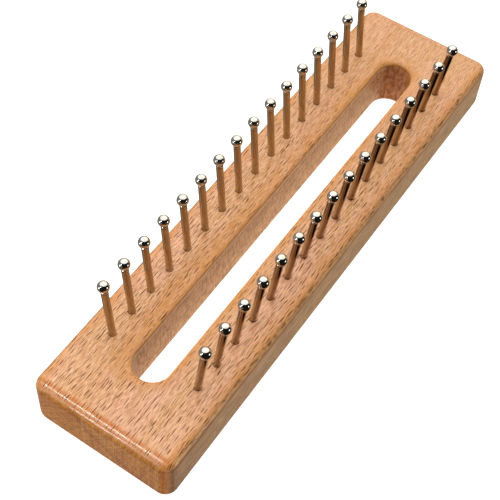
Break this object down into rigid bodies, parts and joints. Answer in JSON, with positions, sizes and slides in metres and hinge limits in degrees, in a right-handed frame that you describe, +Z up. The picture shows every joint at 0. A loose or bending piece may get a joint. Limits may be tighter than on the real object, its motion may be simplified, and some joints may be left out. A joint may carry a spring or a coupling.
{
  "type": "knitting loom",
  "caption": "Straight knitting loom: a solid wooden board with a long slot through it and a row of ball-headed metal pegs along each side of the slot.",
  "frame": {"origin": "middle of the board's underside", "axes": "+X along the board, from the end with pegs 01 to the end with pegs 16; +Y across it, towards the left row; +Z up, the way the pegs stand"},
  "size_m": [0.204, 0.052, 0.0455],
  "materials": {
    "beech": "satin clear varnish on oiled beech",
    "peg_steel": "polished nickel plate"
  },
  "bodies": {
    "root": {"board": "beech", "peg_right_01": "peg_steel", "peg_right_02": "peg_steel", "peg_right_03": "peg_steel", "peg_right_04": "peg_steel", "peg_right_05": "peg_steel", "peg_right_06": "peg_steel", "peg_right_07": "peg_steel", "peg_right_08": "peg_steel", "peg_right_09": "peg_steel", "peg_right_10": "peg_steel", "peg_right_11": "peg_steel", "peg_right_12": "peg_steel", "peg_right_13": "peg_steel", "peg_right_14": "peg_steel", "peg_right_15": "peg_steel", "peg_right_16": "peg_steel", "peg_left_01": "peg_steel", "peg_left_02": "peg_steel", "peg_left_03": "peg_steel", "peg_left_04": "peg_steel", "peg_left_05": "peg_steel", "peg_left_06": "peg_steel", "peg_left_07": "peg_steel", "peg_left_08": "peg_steel", "peg_left_09": "peg_steel", "peg_left_10": "peg_steel", "peg_left_11": "peg_steel", "peg_left_12": "peg_steel", "peg_left_13": "peg_steel", "peg_left_14": "peg_steel", "peg_left_15": "peg_steel", "peg_left_16": "peg_steel"}
  },
  "joints": []
}
